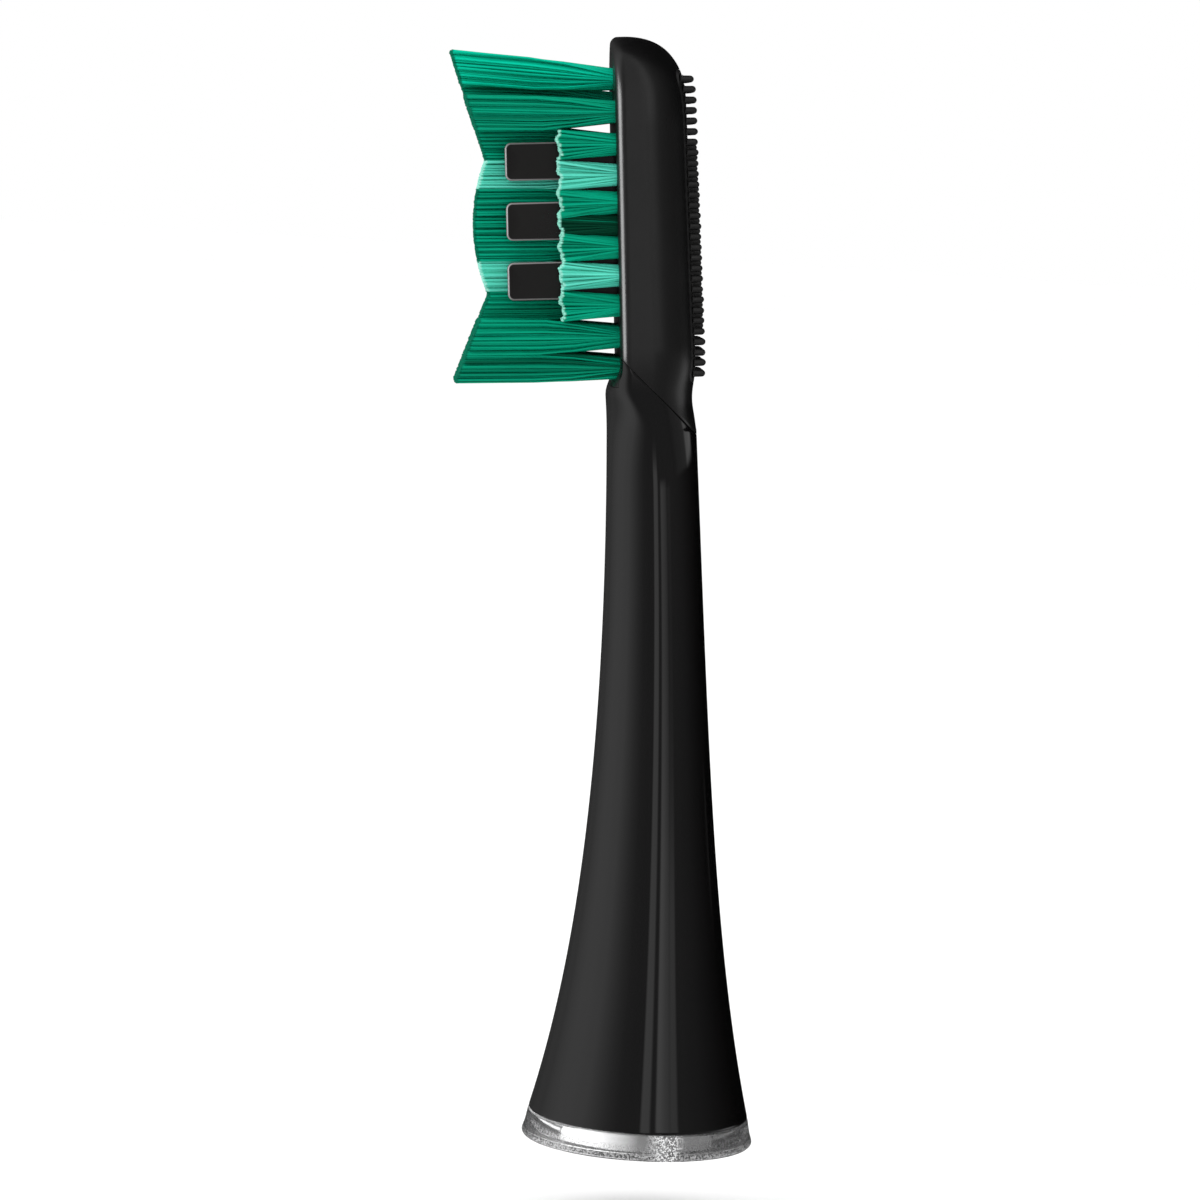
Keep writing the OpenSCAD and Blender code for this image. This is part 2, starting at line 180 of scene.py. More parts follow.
def corner_radii(s):
    """(half width, front, back, front corner's rx and ry, back corner's rx and ry)."""
    a, f, b = half_w(s), front(s), back(s)
    h, half = smooth((s - NECK_TOP) / CORNER_BLEND), (b - f) / 2
    rxf = min(mix(a, FRONT_CORNER, h), a - LEAST)
    ryf = min(mix(half, FRONT_CORNER, h), half - LEAST)
    rxb = min(mix(a, BACK_CORNER_X * HEAD_HALF_W, h), a - LEAST)
    ryb = min(mix(half, BACK_CORNER_Y * HEAD_DEPTH, h), b - f - ryf - LEAST)
    return a, f, b, rxf, ryf, rxb, ryb


QUARTER = quarter_turn(40)
AROUND = 160  # points in each section
SIDES = ((-1, "left"), (1, "right"))


def section(s):
    """Evenly spaced points (x, depth) round the form at s, from the middle of the back."""
    a, f, b, rxf, ryf, rxb, ryb = corner_radii(s)
    c, d = np.cos(QUARTER), np.sin(QUARTER)
    right = np.concatenate([
        [[0, b]],
        np.stack([a - rxb + rxb * d, b - ryb + ryb * c], 1),
        np.stack([a - rxf + rxf * c, f + ryf - ryf * d], 1),
        [[0, f]],
    ])
    left = right[-2:0:-1] * [-1, 1]
    loop = np.concatenate([right, left, right[:1]])
    run = np.concatenate([[0], np.cumsum(np.hypot(*np.diff(loop, axis=0).T))])
    want = np.linspace(0, run[-1], AROUND, endpoint=False)
    return np.stack([np.interp(want, run, loop[:, 0]), np.interp(want, run, loop[:, 1])], 1)


def head_to_world(x, depth, t):
    """Points in the head's own frame (x, depth behind the face, height on the head) in space."""
    y0, z0 = neck_y(NECK_TOP), NECK_TOP
    d, r = np.asarray(depth, float) - AXIS_DEPTH, np.asarray(t, float) + HEAD_RISE
    co, si = math.cos(HEAD_TILT), math.sin(HEAD_TILT)
    x, y, z = np.broadcast_arrays(np.asarray(x, float), y0 + d * co - r * si, z0 + d * si + r * co)
    return np.stack([x, y, z], -1)


def placed(points, s):
    """Section points (x, depth) at the station s, or at one station for each point, in space."""
    s = np.broadcast_to(np.asarray(s, float), points.shape[:1])
    below = s < NECK_TOP
    w = np.where(below, np.arctan(2 * NECK_LEAN * (s - NECK_BASE)), HEAD_TILT)
    past = s - NECK_TOP
    cy = np.where(below, neck_y(s), neck_y(NECK_TOP) - past * math.sin(HEAD_TILT))
    cz = np.where(below, s, NECK_TOP + past * math.cos(HEAD_TILT))
    d = points[:, 1] - AXIS_DEPTH
    return np.stack([points[:, 0], cy + d * np.cos(w), cz + d * np.sin(w)], 1)


# ---- mesh helpers
def link(data, name):
    made = bpy.data.objects.new(name, data)
    bpy.context.collection.objects.link(made)
    return made


def shade(mesh, angle):
    """Smooth, apart from edges sharper than angle, in degrees."""
    mesh.polygons.foreach_set("use_smooth", [True] * len(mesh.polygons))
    mesh.set_sharp_from_angle(angle=math.radians(angle))


def mesh_of(verts, faces, name):
    """A mesh through points in mm, its faces turned outwards."""
    mesh = bpy.data.meshes.new(name)
    mesh.from_pydata((np.array(verts) * MM).tolist(), [], faces)
    bm = bmesh.new()
    bm.from_mesh(mesh)
    bmesh.ops.recalc_face_normals(bm, faces=bm.faces)
    bm.to_mesh(mesh)
    bm.free()
    return mesh


def gathered(meshes, into):
    """Puts all of the meshes into one, which takes their place."""
    bm = bmesh.new()
    for mesh in meshes:
        bm.from_mesh(mesh)
        if mesh != into:
            bpy.data.meshes.remove(mesh)
    bm.to_mesh(into)
    bm.free()
    return into


def tube_of_rings(rings, name):
    """A closed mesh through rings of equal count, each (n, 3) in mm."""
    n, rows = len(rings[0]), len(rings)
    verts = [p for r in rings for p in r]
    faces = [(k * n + i, k * n + (i + 1) % n, (k + 1) * n + (i + 1) % n, (k + 1) * n + i)
             for k in range(rows - 1) for i in range(n)]
    for row in (0, rows - 1):
        hub = len(verts)
        verts.append(np.mean(rings[row], axis=0))
        faces += [(row * n + i, row * n + (i + 1) % n, hub) for i in range(n)]
    return mesh_of(verts, faces, name)


def apply_modifiers(piece):
    deps = bpy.context.evaluated_depsgraph_get()
    mesh = bpy.data.meshes.new_from_object(piece.evaluated_get(deps))
    piece.modifiers.clear()
    piece.data = mesh


def combine(piece, how, meshes):
    """Joins closed meshes to piece, cuts them out of it or keeps what they share with it."""
    made = []
    for mesh in meshes:
        tool = link(mesh, mesh.name)
        step = piece.modifiers.new(mesh.name, "BOOLEAN")
        step.operation, step.object, step.solver = how, tool, "MANIFOLD"
        made.append(tool)
    apply_modifiers(piece)
    for tool in made:
        bpy.data.objects.remove(tool)


def prism(outline, low, high, name):
    """A closed block through an outline of (x, t) points, from depth low to depth high."""
    x, t = np.array(outline).T
    return tube_of_rings([head_to_world(x, depth, t) for depth in (low, high)], name)


def lathe(profile, name, steps, closed=True):
    """A mesh turned about the vertical axis through a profile of (r, z) points."""
    turn = full_turn(steps)
    n = len(profile)
    verts = [(r * math.cos(a), r * math.sin(a), z) for a in turn for r, z in profile]
    faces = []
    for i in range(steps):
        here, after = i * n, (i + 1) % steps * n
        for k in range(n if closed else n - 1):
            above = (k + 1) % n
            faces.append((here + k, after + k, after + above, here + above))
    return mesh_of(verts, faces, name)


def dress(piece, material, replaces, body=BODY):
    """Gives a piece its finish, hides the CAD nodes that it replaces and attaches it to the body it rides on.
    """
    piece.data.materials.clear()
    piece.data.materials.append(material)
    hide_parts(*replaces)
    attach(piece, body)


# ---- materials
# a mix node's sockets for its factor, its two colours and its resulting colour
BLEND_INPUTS, BLEND_RESULT = (0, 6, 7), 2


class Nodes:
    """Short calls for the nodes that the finishes and the world share."""

    def __init__(self, tree):
        self.tree = tree

    def node(self, kind, **values):
        made = self.tree.nodes.new(kind)
        for key, value in values.items():
            if hasattr(made, key):
                setattr(made, key, value)
            else:
                made.inputs[key.replace("_", " ")].default_value = value
        return made

    def join(self, out, into):
        self.tree.links.new(out, into)

    def math(self, kind, a, b=0.0):
        made = self.node("ShaderNodeMath", operation=kind)
        for value, into in zip((a, b), made.inputs):
            if isinstance(value, (int, float)):
                into.default_value = value
            else:
                self.join(value, into)
        return made.outputs[0]

    def parts(self, vector):
        made = self.node("ShaderNodeSeparateXYZ")
        self.join(vector, made.inputs[0])
        return made.outputs

    def range(self, fac, low, high, from_low=0.3, from_high=0.7, kind="LINEAR"):
        made = self.node("ShaderNodeMapRange", interpolation_type=kind, From_Min=from_low,
                         From_Max=from_high, To_Min=low, To_Max=high)
        self.join(fac, made.inputs["Value"])
        return made.outputs["Result"]

    def ramp(self, fac, stops):
        """Colours from stops of (place from 0 to 1, colour)."""
        made = self.node("ShaderNodeValToRGB")
        band = made.color_ramp
        while len(band.elements) < len(stops):
            band.elements.new(0.5)
        for spot, (where, colour) in zip(band.elements, stops):
            spot.position = where
            spot.color = (*colour, 1)
        self.join(fac, made.inputs["Fac"])
        return made.outputs["Color"]

    def blend(self, fac, first, second, kind="MIX"):
        """Goes from the first colour to the second; each one is a socket or a value."""
        made = self.node("ShaderNodeMix", data_type="RGBA", blend_type=kind)
        for value, into in zip((fac, first, second), [made.inputs[k] for k in BLEND_INPUTS]):
            if isinstance(value, bpy.types.NodeSocket):
                self.join(value, into)
            else:
                into.default_value = value
        return made.outputs[BLEND_RESULT]


class Finish(Nodes):
    """A node material built on the principled shader."""

    def __init__(self, made):
        self.material = bpy.data.materials.new(made) if isinstance(made, str) else made
        self.material.use_nodes = True
        super().__init__(self.material.node_tree)
        self.shader = self.tree.nodes["Principled BSDF"]

    def set(self, **values):
        for key, value in values.items():
            self.shader.inputs[key.replace("_", " ")].default_value = value

    def feed(self, socket, out):
        self.join(out, self.shader.inputs[socket])

    def place(self):
        return self.node("ShaderNodeNewGeometry").outputs["Position"]

    def noise(self, scale, detail=4.0, roughness=0.5, stretch=None):
        at = self.place()
        if stretch:
            squeeze = self.node("ShaderNodeMapping", Scale=stretch)
            self.join(at, squeeze.inputs["Vector"])
            at = squeeze.outputs["Vector"]
        made = self.node("ShaderNodeTexNoise", Scale=scale, Detail=detail, Roughness=roughness)
        self.join(at, made.inputs["Vector"])
        return made.outputs["Fac"]

    def bump(self, height, strength, distance):
        made = self.node("ShaderNodeBump", Strength=strength, Distance=distance * MM)
        self.join(height, made.inputs["Height"])
        return made.outputs["Normal"]


def moulded(name, dark, light, rough, grain, grain_strength, level=0.5):
    """Moulded plastic or rubber: faint colour clouds, uneven gloss and a fine grain."""
    f = Finish(name)
    f.set(IOR=1.5, Specular_IOR_Level=level)
    f.feed("Base Color", f.ramp(f.noise(180, 3), [(0.35, dark), (0.65, light)]))
    f.feed("Roughness", f.range(f.noise(420, 4), rough[0], rough[1]))
    f.feed("Normal", f.bump(f.noise(grain, 3, 0.6), grain_strength, 0.02))
    return f.material


# grey of the painted highlight on the polishing blocks' round edges
PAINTED_HIGHLIGHT_GREY = (0.15, 0.14, 0.142, 1)
HIGHLIGHT_FADE_IN = (0.2, 0.45)  # |normal's x| over which the painted highlight band fades in, and then out
HIGHLIGHT_FADE_OUT = (0.86, 0.985)


def block_finish():
    """Satin rubber with a painted highlight: a lighter grey along the round edges of its two broad sides."""
    f = Finish(moulded("polishing_rubber_black", (0.003, 0.0026, 0.0025), (0.0042, 0.0036, 0.0034),
                       (0.26, 0.32), 7000, 0.12, level=0.25))
    across = f.math("ABSOLUTE", f.parts(f.node("ShaderNodeNewGeometry").outputs["Normal"])[0])
    # painted highlight: the round edges are mixed towards a lighter grey, where light would catch them
    edge = f.math("MULTIPLY", f.range(across, 0, 1, *HIGHLIGHT_FADE_IN), f.range(across, 1, 0, *HIGHLIGHT_FADE_OUT))
    base = f.shader.inputs["Base Color"]
    f.join(f.blend(edge, base.links[0].from_socket, PAINTED_HIGHLIGHT_GREY), base)
    return f.material


TIP_BAND = (0.92, 0.97)  # shares of a filament's length over which its tip colour comes in


def bristle_finish(name, hidden, deep, middle, bright, tip):
    """Nylon filaments: each has its own tone between four colours, with painted light and shade in it, and a
    tip colour.
    """
    f = Finish(name)
    f.set(Roughness=0.5, IOR=1.5, Specular_IOR_Level=0.05)
    shade_of = f.node("ShaderNodeAttribute", attribute_name="shade").outputs["Fac"]
    along = f.node("ShaderNodeAttribute", attribute_name="along").outputs["Fac"]
    # the first colour, below 0.24, is painted shade for the recessed tufts between the rows
    body = f.ramp(shade_of, [(0.0, hidden), (0.12, hidden), (0.24, deep), (0.55, middle), (1.0, bright)])
    tipped = f.blend(f.range(along, 0.0, 1.0, *TIP_BAND), body, (*tip, 1))
    streak = f.noise(1500, 2, 0.5, stretch=(1, 0.12, 1))
    streaks = f.ramp(streak, [(0.3, (0.82, 0.82, 0.82)), (0.7, (1.0, 1.0, 1.0))])
    f.feed("Base Color", f.blend(1.0, tipped, streaks, "MULTIPLY"))
    return f.material


FROST_PATCH = (95, 109)  # degrees round the ring, from the bristle side
FROST_FADE = 4  # degrees over which it fades in
LIP_FROST = 0.4
LIP_FADE = (0.45, 0.75)  # heights over which the lip's frost ends


def ring_finish():
    """Clear plastic, polished, with a sparkling frost on the foot's lip and on one patch above it."""
    f = Finish("clear_ring")
    f.set(IOR=1.49, Base_Color=(0.93, 0.93, 0.935, 1))
    x, y, z = f.parts(f.node("ShaderNodeTexCoord").outputs["Object"])
    around = f.math("ARCTAN2", x, f.math("MULTIPLY", y, -1.0))
    start, end = (math.radians(a) for a in FROST_PATCH)
    soft = math.radians(FROST_FADE)
    patch = f.math("MULTIPLY", f.range(around, 0, 1, start - soft, start + soft),
                   f.range(around, 1, 0, end - soft, end + soft))
    lip = f.range(z, LIP_FROST, 0, LIP_FADE[0] * MM, LIP_FADE[1] * MM)
    frost = f.math("MAXIMUM", patch, lip)
    spots = f.math("MULTIPLY", f.range(f.noise(7000, 1, 0.5), 0, 1, 0.47, 0.56), frost)
    unevenness = f.math("ADD", spots, f.noise(300, 2))
    f.feed("Roughness", f.range(unevenness, 0.02, 0.4, 0.6, 1.5))
    f.feed("Transmission Weight", f.range(spots, 0.97, 0.2, 0, 1))
    grain = f.bump(f.noise(6500, 1, 0.5), 0.5, 0.04)
    f.join(f.range(frost, 0.01, 0.9, 0, 1), grain.node.inputs["Strength"])
    f.feed("Normal", grain)
    return f.material


def metal_finish(name, dark, light, rough, brushed):
    """Bare metal with fine marks that run along the axis of the smallest scale in brushed."""
    f = Finish(name)
    f.set(Metallic=1.0)
    f.feed("Base Color", f.ramp(f.noise(900, 3), [(0.3, dark), (0.7, light)]))
    f.feed("Roughness", f.range(f.noise(2500, 3, 0.5, brushed), rough[0], rough[1]))
    f.feed("Normal", f.bump(f.noise(5000, 2, 0.5, brushed), 0.15, 0.01))
    return f.material


GLOSS = moulded("gloss_black", (0.001, 0.0009, 0.001), (0.0014, 0.0012, 0.0013),
                (0.015, 0.035), 2600, 0.012)
SOFT = moulded("soft_touch_black", (0.0014, 0.0013, 0.0014), (0.002, 0.0019, 0.002),
               (0.28, 0.33), 9000, 0.22)
FACE = moulded("face_black", (0.006, 0.0057, 0.006), (0.008, 0.0076, 0.008),
               (0.34, 0.44), 6000, 0.18)
TONGUE = moulded("tongue_rubber_black", (0.005, 0.0048, 0.005), (0.007, 0.0066, 0.0068),
                 (0.42, 0.55), 8000, 0.25)
POLISH = block_finish()
ACETAL = moulded("natural_acetal", (0.66, 0.64, 0.58), (0.74, 0.72, 0.66), (0.3, 0.42), 3000, 0.1)
CLEAR = ring_finish()
STEEL = metal_finish("spring_steel", (0.5, 0.51, 0.53), (0.62, 0.63, 0.65), (0.2, 0.34), (1, 1, 0.05))
BRASS = metal_finish("anchor_brass", (0.5, 0.38, 0.17), (0.68, 0.53, 0.27), (0.24, 0.4), (0.1, 1, 1))
# bristle colours from the darkest, the painted shade of the recessed tufts between the rows, to the brightest
GREENS = [(0.0, 0.05, 0.024), (0.0, 0.27, 0.15), (0.0, 0.40, 0.235), (0.0, 0.58, 0.37)]
MINTS = [(0.04, 0.4, 0.28), (0.08, 0.61, 0.46), (0.13, 0.75, 0.58), (0.22, 0.87, 0.72)]
# the long green tufts' dark tip colour is painted shade on their cut ends
GREEN = bristle_finish("green_nylon", *GREENS, (0.0, 0.16, 0.09))
GREEN_SHORT = bristle_finish("green_nylon_short", *GREENS, (0.28, 0.72, 0.58))
MINT = bristle_finish("mint_nylon", *MINTS, (0.30, 0.76, 0.63))


# ---- block outline and cutters
def block_outline(clear, steps=40):
    """The tuft block's outline (x, t) between the soft rims, made wider by clear."""
    low, high, inset = BLOCK_LOW - clear, HEAD_TOP - CROWN_RIM + clear, RIM_W - clear
    side = []
    for i in range(steps + 1):
        t = mix(low, high, math.sin(math.pi / 2 * i / steps))
        wide = half_w(s_of(min(t, ROUND_FROM))) - inset
        side.append((wide * oval(t, ROUND_FROM, high, ROUND_POWER), t))
    return side + [(-x, t) for x, t in side[-2::-1]]


def round_bar(x, depth, r, spans, name, steps=48):
    """A closed round bar through the heights in spans, along the head."""
    turn = full_turn(steps)
    rings = [head_to_world(x + r * np.cos(turn), depth + r * np.sin(turn), t) for t in spans]
    return tube_of_rings(rings, name)


def stem(clear, longer, name):
    """The stem below the face, or the cutter for its recess."""
    return round_bar(0, AXIS_DEPTH, STEM_R + clear, (STEM_FOOT - longer, STEM_HEAD), name)


PAD_HALF_W, PAD_LOW, PAD_HIGH, PAD_CORNER = 3.4, -12.2, 11.7, 1.2
PAD_FLOOR = 4.95  # depth of the recess's floor behind the bristle face
PAD_CUT_END = 9  # and its cutter ends here, outside the form
PAD_RIM = 0.09  # the pad's rim lies this far below the cover


def pad_half(t):
    """Half width of the tongue cleaner's pad at height t, with rounded corners."""
    over = max(0.0, t - (PAD_HIGH - PAD_CORNER), (PAD_LOW + PAD_CORNER) - t)
    return PAD_HALF_W - rounding(PAD_CORNER, min(PAD_CORNER, over))


def pad_outline(clear, steps=12):
    """The pad's outline (x, t), made wider by clear."""
    ends = [1 - math.cos(math.pi / 2 * i / steps) for i in range(steps + 1)]
    heights = [PAD_LOW + PAD_CORNER * e for e in ends] + [PAD_HIGH - PAD_CORNER * e for e in ends[::-1]]
    side = [(pad_half(t) + clear, t + clear * (1 if t > 0 else -1)) for t in heights]
    return side + [(-x, t) for x, t in side[::-1]]


# ---- neck and head cover
# closely spaced sections over the heights that the seam runs through
FINE_S = np.arange(NECK_TOP - 3.5, NECK_TOP + 9.0, 0.05)
FINE = np.array([section(s) for s in FINE_S])


def seam_stations(drop=0.0):
    """For each column round the form, the station where it crosses the seam, lowered by drop."""
    height = t_of(FINE_S)[:, None] + SEAM_SLOPE * FINE[:, :, 1] - SEAM_AT + drop
    return np.array([np.interp(0.0, height[:, i], FINE_S) for i in range(AROUND)])


def section_at(stations):
    """One section point for each column, each at its own station."""
    k = np.clip(np.searchsorted(FINE_S, stations) - 1, 0, len(FINE_S) - 2)
    u = ((stations - FINE_S[k]) / (FINE_S[k + 1] - FINE_S[k]))[:, None]
    cols = np.arange(AROUND)
    return FINE[k, cols] * (1 - u) + FINE[k + 1, cols] * u


def pulled_in(ring, amount, goal):
    """A ring's points moved towards a point by an amount."""
    way = goal - ring
    return ring + way / np.linalg.norm(way, axis=1, keepdims=True) * amount


def seam_rings(stations, side):
    """The rounded edge at the seam and the flat that closes it. side is 1 below it and -1 above."""
    goal = np.mean(placed(section_at(stations), stations), axis=0)
    rings = []
    for step in range(4):
        turn = math.radians(30 * step)
        back_off = side * SEAM_EDGE * (1 - math.sin(turn))
        ring = placed(section_at(stations - back_off), stations - back_off)
        rings.append(pulled_in(ring, SEAM_EDGE * (1 - math.cos(turn)), goal))
    rings.append(pulled_in(rings[-1], SEAM_FLAT, goal))
    return rings


def neck_rings():
    """The neck's outside, from its lower edge up to the seam and the flat that closes it."""
    common_top = NECK_TOP - 3
    seam = seam_stations()
    edge = [NECK_BASE + EDGE_ROUND * (1 - math.cos(math.radians(15 * i))) for i in range(6)]
    straight = list(np.linspace(NECK_BASE + EDGE_ROUND, common_top, 110))
    rings = [placed(section(s), s) for s in edge + straight]
    for u in np.linspace(0, 1, 30)[1:]:
        stations = common_top + (seam - SEAM_EDGE - common_top) * u
        rings.append(placed(section_at(stations), stations))
    return rings + seam_rings(seam, 1)[1:]


def hollow_rings():
    """The open hollow inside the neck, from its top down to the mouth."""
    lip_r, lip_top, top, wall = 6.95, 4.8, 30.5, 0.95
    profile = [(neck_r(z) + neck_y(z) - wall, z) for z in (top, 25, 20, 15, 10, lip_top + 0.2)]
    profile += [(lip_r, lip_top), (lip_r, NECK_BASE + 0.3), (lip_r + 0.08, NECK_BASE + 0.08),
                (lip_r + 0.3, NECK_BASE)]
    turn = full_turn(AROUND)
    return [np.stack([r * np.sin(turn), r * np.cos(turn), np.full(AROUND, z)], 1) for r, z in profile]


def bar(corner_low, corner_high, turn, name):
    """A rib: a box with softened edges, turned about the vertical axis."""
    bm = bmesh.new()
    bmesh.ops.create_cube(bm, size=1)
    low, high = Vector(corner_low), Vector(corner_high)
    for v in bm.verts:
        v.co = Vector(low[i] + (v.co[i] + 0.5) * (high[i] - low[i]) for i in range(3))
    bmesh.ops.bevel(bm, geom=bm.edges, offset=0.08, segments=2, profile=0.5, affect="EDGES")
    spin = Quaternion((0, 0, 1), math.radians(turn))
    for v in bm.verts:
        v.co = (spin @ v.co) * MM
    mesh = bpy.data.meshes.new(name)
    bm.to_mesh(mesh)
    bm.free()
    return mesh


def face_cutter():
    """Cuts the room for the tuft block."""
    return prism(block_outline(FIT), -FACE_ROOM, BLOCK_DEPTH + FIT, "block_cut")


def crown_stations(first, steps):
    """Stations from where the outline starts to close up to the top, closer together towards it."""
    turns = [math.radians(a) for a in np.linspace(first, 90, steps)]
    return [s_of(mix(ROUND_FROM, HEAD_TOP - TOP_GAP, math.sin(a))) for a in turns]


RIB_LOW, RIB_HIGH = (3.45, -0.4, 13), (5.35, 0.4, 17)
FORM_ANGLE = 32  # edges sharper than this, in degrees, stay sharp on the large forms


def make_neck():
    piece = link(tube_of_rings(hollow_rings() + neck_rings(), "neck"), "neck")
    combine(piece, "DIFFERENCE", [face_cutter(), stem(FIT, CUT_ROOM, "stem_cut")])
    ribs = [bar(RIB_LOW, RIB_HIGH, turn, "rib") for turn in (45, 135, 225, 315)]
    gathered([piece.data] + ribs, piece.data)
    shade(piece.data, FORM_ANGLE)
    dress(piece, GLOSS, replaces=["neck_shell"])


def make_cover():
    seam = seam_stations(-SEAM_GAP)
    start = NECK_TOP + 8.5
    rings = seam_rings(seam, -1)[:0:-1]
    for u in np.linspace(0, 1, 34)[:-1]:
        stations = seam + SEAM_EDGE + (start - seam - SEAM_EDGE) * u
        rings.append(placed(section_at(stations), stations))
    straight = list(np.linspace(start, s_of(ROUND_FROM), 30))
    rings += [placed(section(s), s) for s in straight + crown_stations(3, 40)]
    piece = link(tube_of_rings(rings, "head_soft_cover"), "head_soft_cover")
    pad_cut = prism(pad_outline(FIT), PAD_FLOOR - FIT, PAD_CUT_END, "pad_cut")
    combine(piece, "DIFFERENCE", [face_cutter(), pad_cut, stem(FIT, CUT_ROOM, "stem_cut")])
    shade(piece.data, FORM_ANGLE)
    dress(piece, SOFT, replaces=["head_cover"])


# ---- tongue cleaner
def back_surface(x, t):
    """Depth of the form's back behind the face, at x and t."""
    a, _, b, _, _, rxb, ryb = corner_radii(s_of(t))
    reach = max(0.0, abs(x) - (a - rxb)) / rxb
    return b - ryb + ryb * math.sqrt(max(0.0, 1 - reach * reach))


def make_pad_mesh():
    """A closed patch that fills the recess and follows the head's back."""
    across, ends = 29, 7
    lift = [PAD_CORNER * (1 - math.cos(math.pi / 2 * i / ends)) for i in range(ends + 1)]
    heights = [PAD_LOW + e for e in lift]
    heights += list(np.linspace(PAD_LOW + PAD_CORNER, PAD_HIGH - PAD_CORNER, 60)[1:-1])
    heights += [PAD_HIGH - e for e in lift[::-1]]
    verts, faces, rows = [], [], len(heights)
    for layer in range(2):
        for j, t in enumerate(heights):
            for x in np.linspace(-pad_half(t), pad_half(t), across):
                rim = abs(x) > pad_half(t) - 0.02 or j in (0, rows - 1)
                top = back_surface(x, t) - (PAD_RIM if rim else 0.0)
                verts.append(head_to_world(x, top if layer == 0 else PAD_FLOOR, t))
    flip = rows * across  # from a point on the back to the one below it on the floor
    for j in range(rows - 1):
        for i in range(across - 1):
            k = j * across + i
            faces.append((k, k + 1, k + across + 1, k + across))
            faces.append((flip + k, flip + k + across, flip + k + across + 1, flip + k + 1))
    loop = list(range(across)) + [j * across + across - 1 for j in range(1, rows)]
    loop += [(rows - 1) * across + i for i in range(across - 2, -1, -1)]
    loop += [j * across for j in range(rows - 2, 0, -1)]
    for a, b in zip(loop, loop[1:] + loop[:1]):
        faces.append((a, flip + a, flip + b, b))
    return mesh_of(verts, faces, "tongue_pad")


NUB_R, NUB_H, NUB_PITCH, NUB_FIRST, NUB_ROWS = 0.28, 0.75, 0.8, 10.95, 29
NUB_COLUMNS = (-2.6, -1.3, 0.0, 1.3, 2.6)
PLAIN_TOP, PLAIN_FOOT = 6, 5  # rows at the top and the foot that aren't staggered
NUB_TILT = 0.03  # a nub leans sideways by up to this share of its height
NUB_FILLET, FILLET_SINK, FILLET_H = 0.1, 0.04, 0.12


def nub_rings(x, t, steps=16):
    """Rings of one nub, from a small fillet on the pad up to its round end."""
    root = back_surface(x, t)
    tip = back(s_of(t)) + NUB_H * random.uniform(0.93, 1.0)
    tilt_x, tilt_t = random.uniform(-NUB_TILT, NUB_TILT), random.uniform(-NUB_TILT, NUB_TILT)
    turn = full_turn(steps)
    fillet = [(NUB_R + NUB_FILLET * (1 - math.sin(a)), root - FILLET_SINK + FILLET_H * (1 - math.cos(a)))
              for a in quarter_turn(4)]
    dome = [(NUB_R * 0.96 * math.cos(a), tip - NUB_R + NUB_R * math.sin(a))
            for a in np.linspace(0, math.pi / 2 * 0.95, 6)]
    rings = []
    for r, depth in fillet + dome:
        rise = max(0.0, depth - root)
        rings.append(head_to_world(x + tilt_x * rise + r * np.cos(turn), depth,
                                   t + tilt_t * rise + r * np.sin(turn)))
    return rings


def make_tongue_cleaner():
    piece = link(make_pad_mesh(), "tongue_pad_and_nubs")
    nubs = []
    for row in range(NUB_ROWS):
        staggered = PLAIN_TOP <= row < NUB_ROWS - PLAIN_FOOT
        for column, x in enumerate(NUB_COLUMNS):
            t = NUB_FIRST - NUB_PITCH * row - (NUB_PITCH / 2 if staggered and column % 2 else 0)
            nubs.append(tube_of_rings(nub_rings(x, t), "nub"))
    gathered([piece.data] + nubs, piece.data)
    shade(piece.data, 40)
    dress(piece, TONGUE, replaces=["tongue_cleaner"])


# ---- polishing strips
POLISH_X, POLISH_W, POLISH_LEN, POLISH_H, POLISH_PITCH, POLISH_SHIFT = 2.45, 1.0, 2.9, 8.4, 4.55, 0.4
POLISH_ROOT, POLISH_ROUND, POLISH_EDGE = 1.0, 0.5, 0.2  # depth in the face, and two radii
RAIL_H, RAIL_ROUND, RAIL_ROOT = 3.9, 0.3, 0.95
RAIL_INSET = 0.02  # the rail ends this far inside the outer blocks
POLISH_SPANS = [(POLISH_SHIFT + k * POLISH_PITCH - POLISH_LEN / 2,
                 POLISH_SHIFT + k * POLISH_PITCH + POLISH_LEN / 2) for k in (-1, 0, 1)]
POLISH_LOW, POLISH_HIGH = POLISH_SPANS[0][0], POLISH_SPANS[-1][1]


def polish_outline(low, high, tip, corner, root, inset):
    """A block's outline seen from the side: square at the root, round at the tip."""
    r = corner - inset
    low, high, tip = low + inset, high - inset, -tip + inset
    turns = quarter_turn(9)
    pts = [(root, low)]
    pts += [(tip + r - r * math.sin(a), low + r - r * math.cos(a)) for a in turns]
    pts += [(tip + r - r * math.cos(a), high - r + r * math.sin(a)) for a in turns]
    return pts + [(root, high)]


def polish_block(at_x, low, high, tip, corner, root, name):
    """A block with round edges on its two broad sides."""
    rings = []
    for side in (-1, 1):
        for a in np.linspace(math.pi / 2, 0, 7)[:: -side]:
            x = side * (POLISH_W / 2 - POLISH_EDGE + POLISH_EDGE * math.sin(a))
            outline = polish_outline(low, high, tip, corner, root, POLISH_EDGE * (1 - math.cos(a)))
            rings.append(np.array([head_to_world(at_x + x, d, t) for d, t in outline]))
    return tube_of_rings(rings, name)


def make_polishing_strips():
    for side, word in SIDES:
        x = side * POLISH_X
        blocks = [polish_block(x, low, high, POLISH_H, POLISH_ROUND, POLISH_ROOT, "block")
                  for low, high in POLISH_SPANS]
        rail = polish_block(x, POLISH_LOW + RAIL_INSET, POLISH_HIGH - RAIL_INSET, RAIL_H, RAIL_ROUND,
                            RAIL_ROOT, "rail")
        piece = link(rail, f"soft_strip_{word}")
        combine(piece, "UNION", blocks)
        shade(piece.data, 40)
        dress(piece, POLISH, replaces=[f"polishing_strip_{word}"])


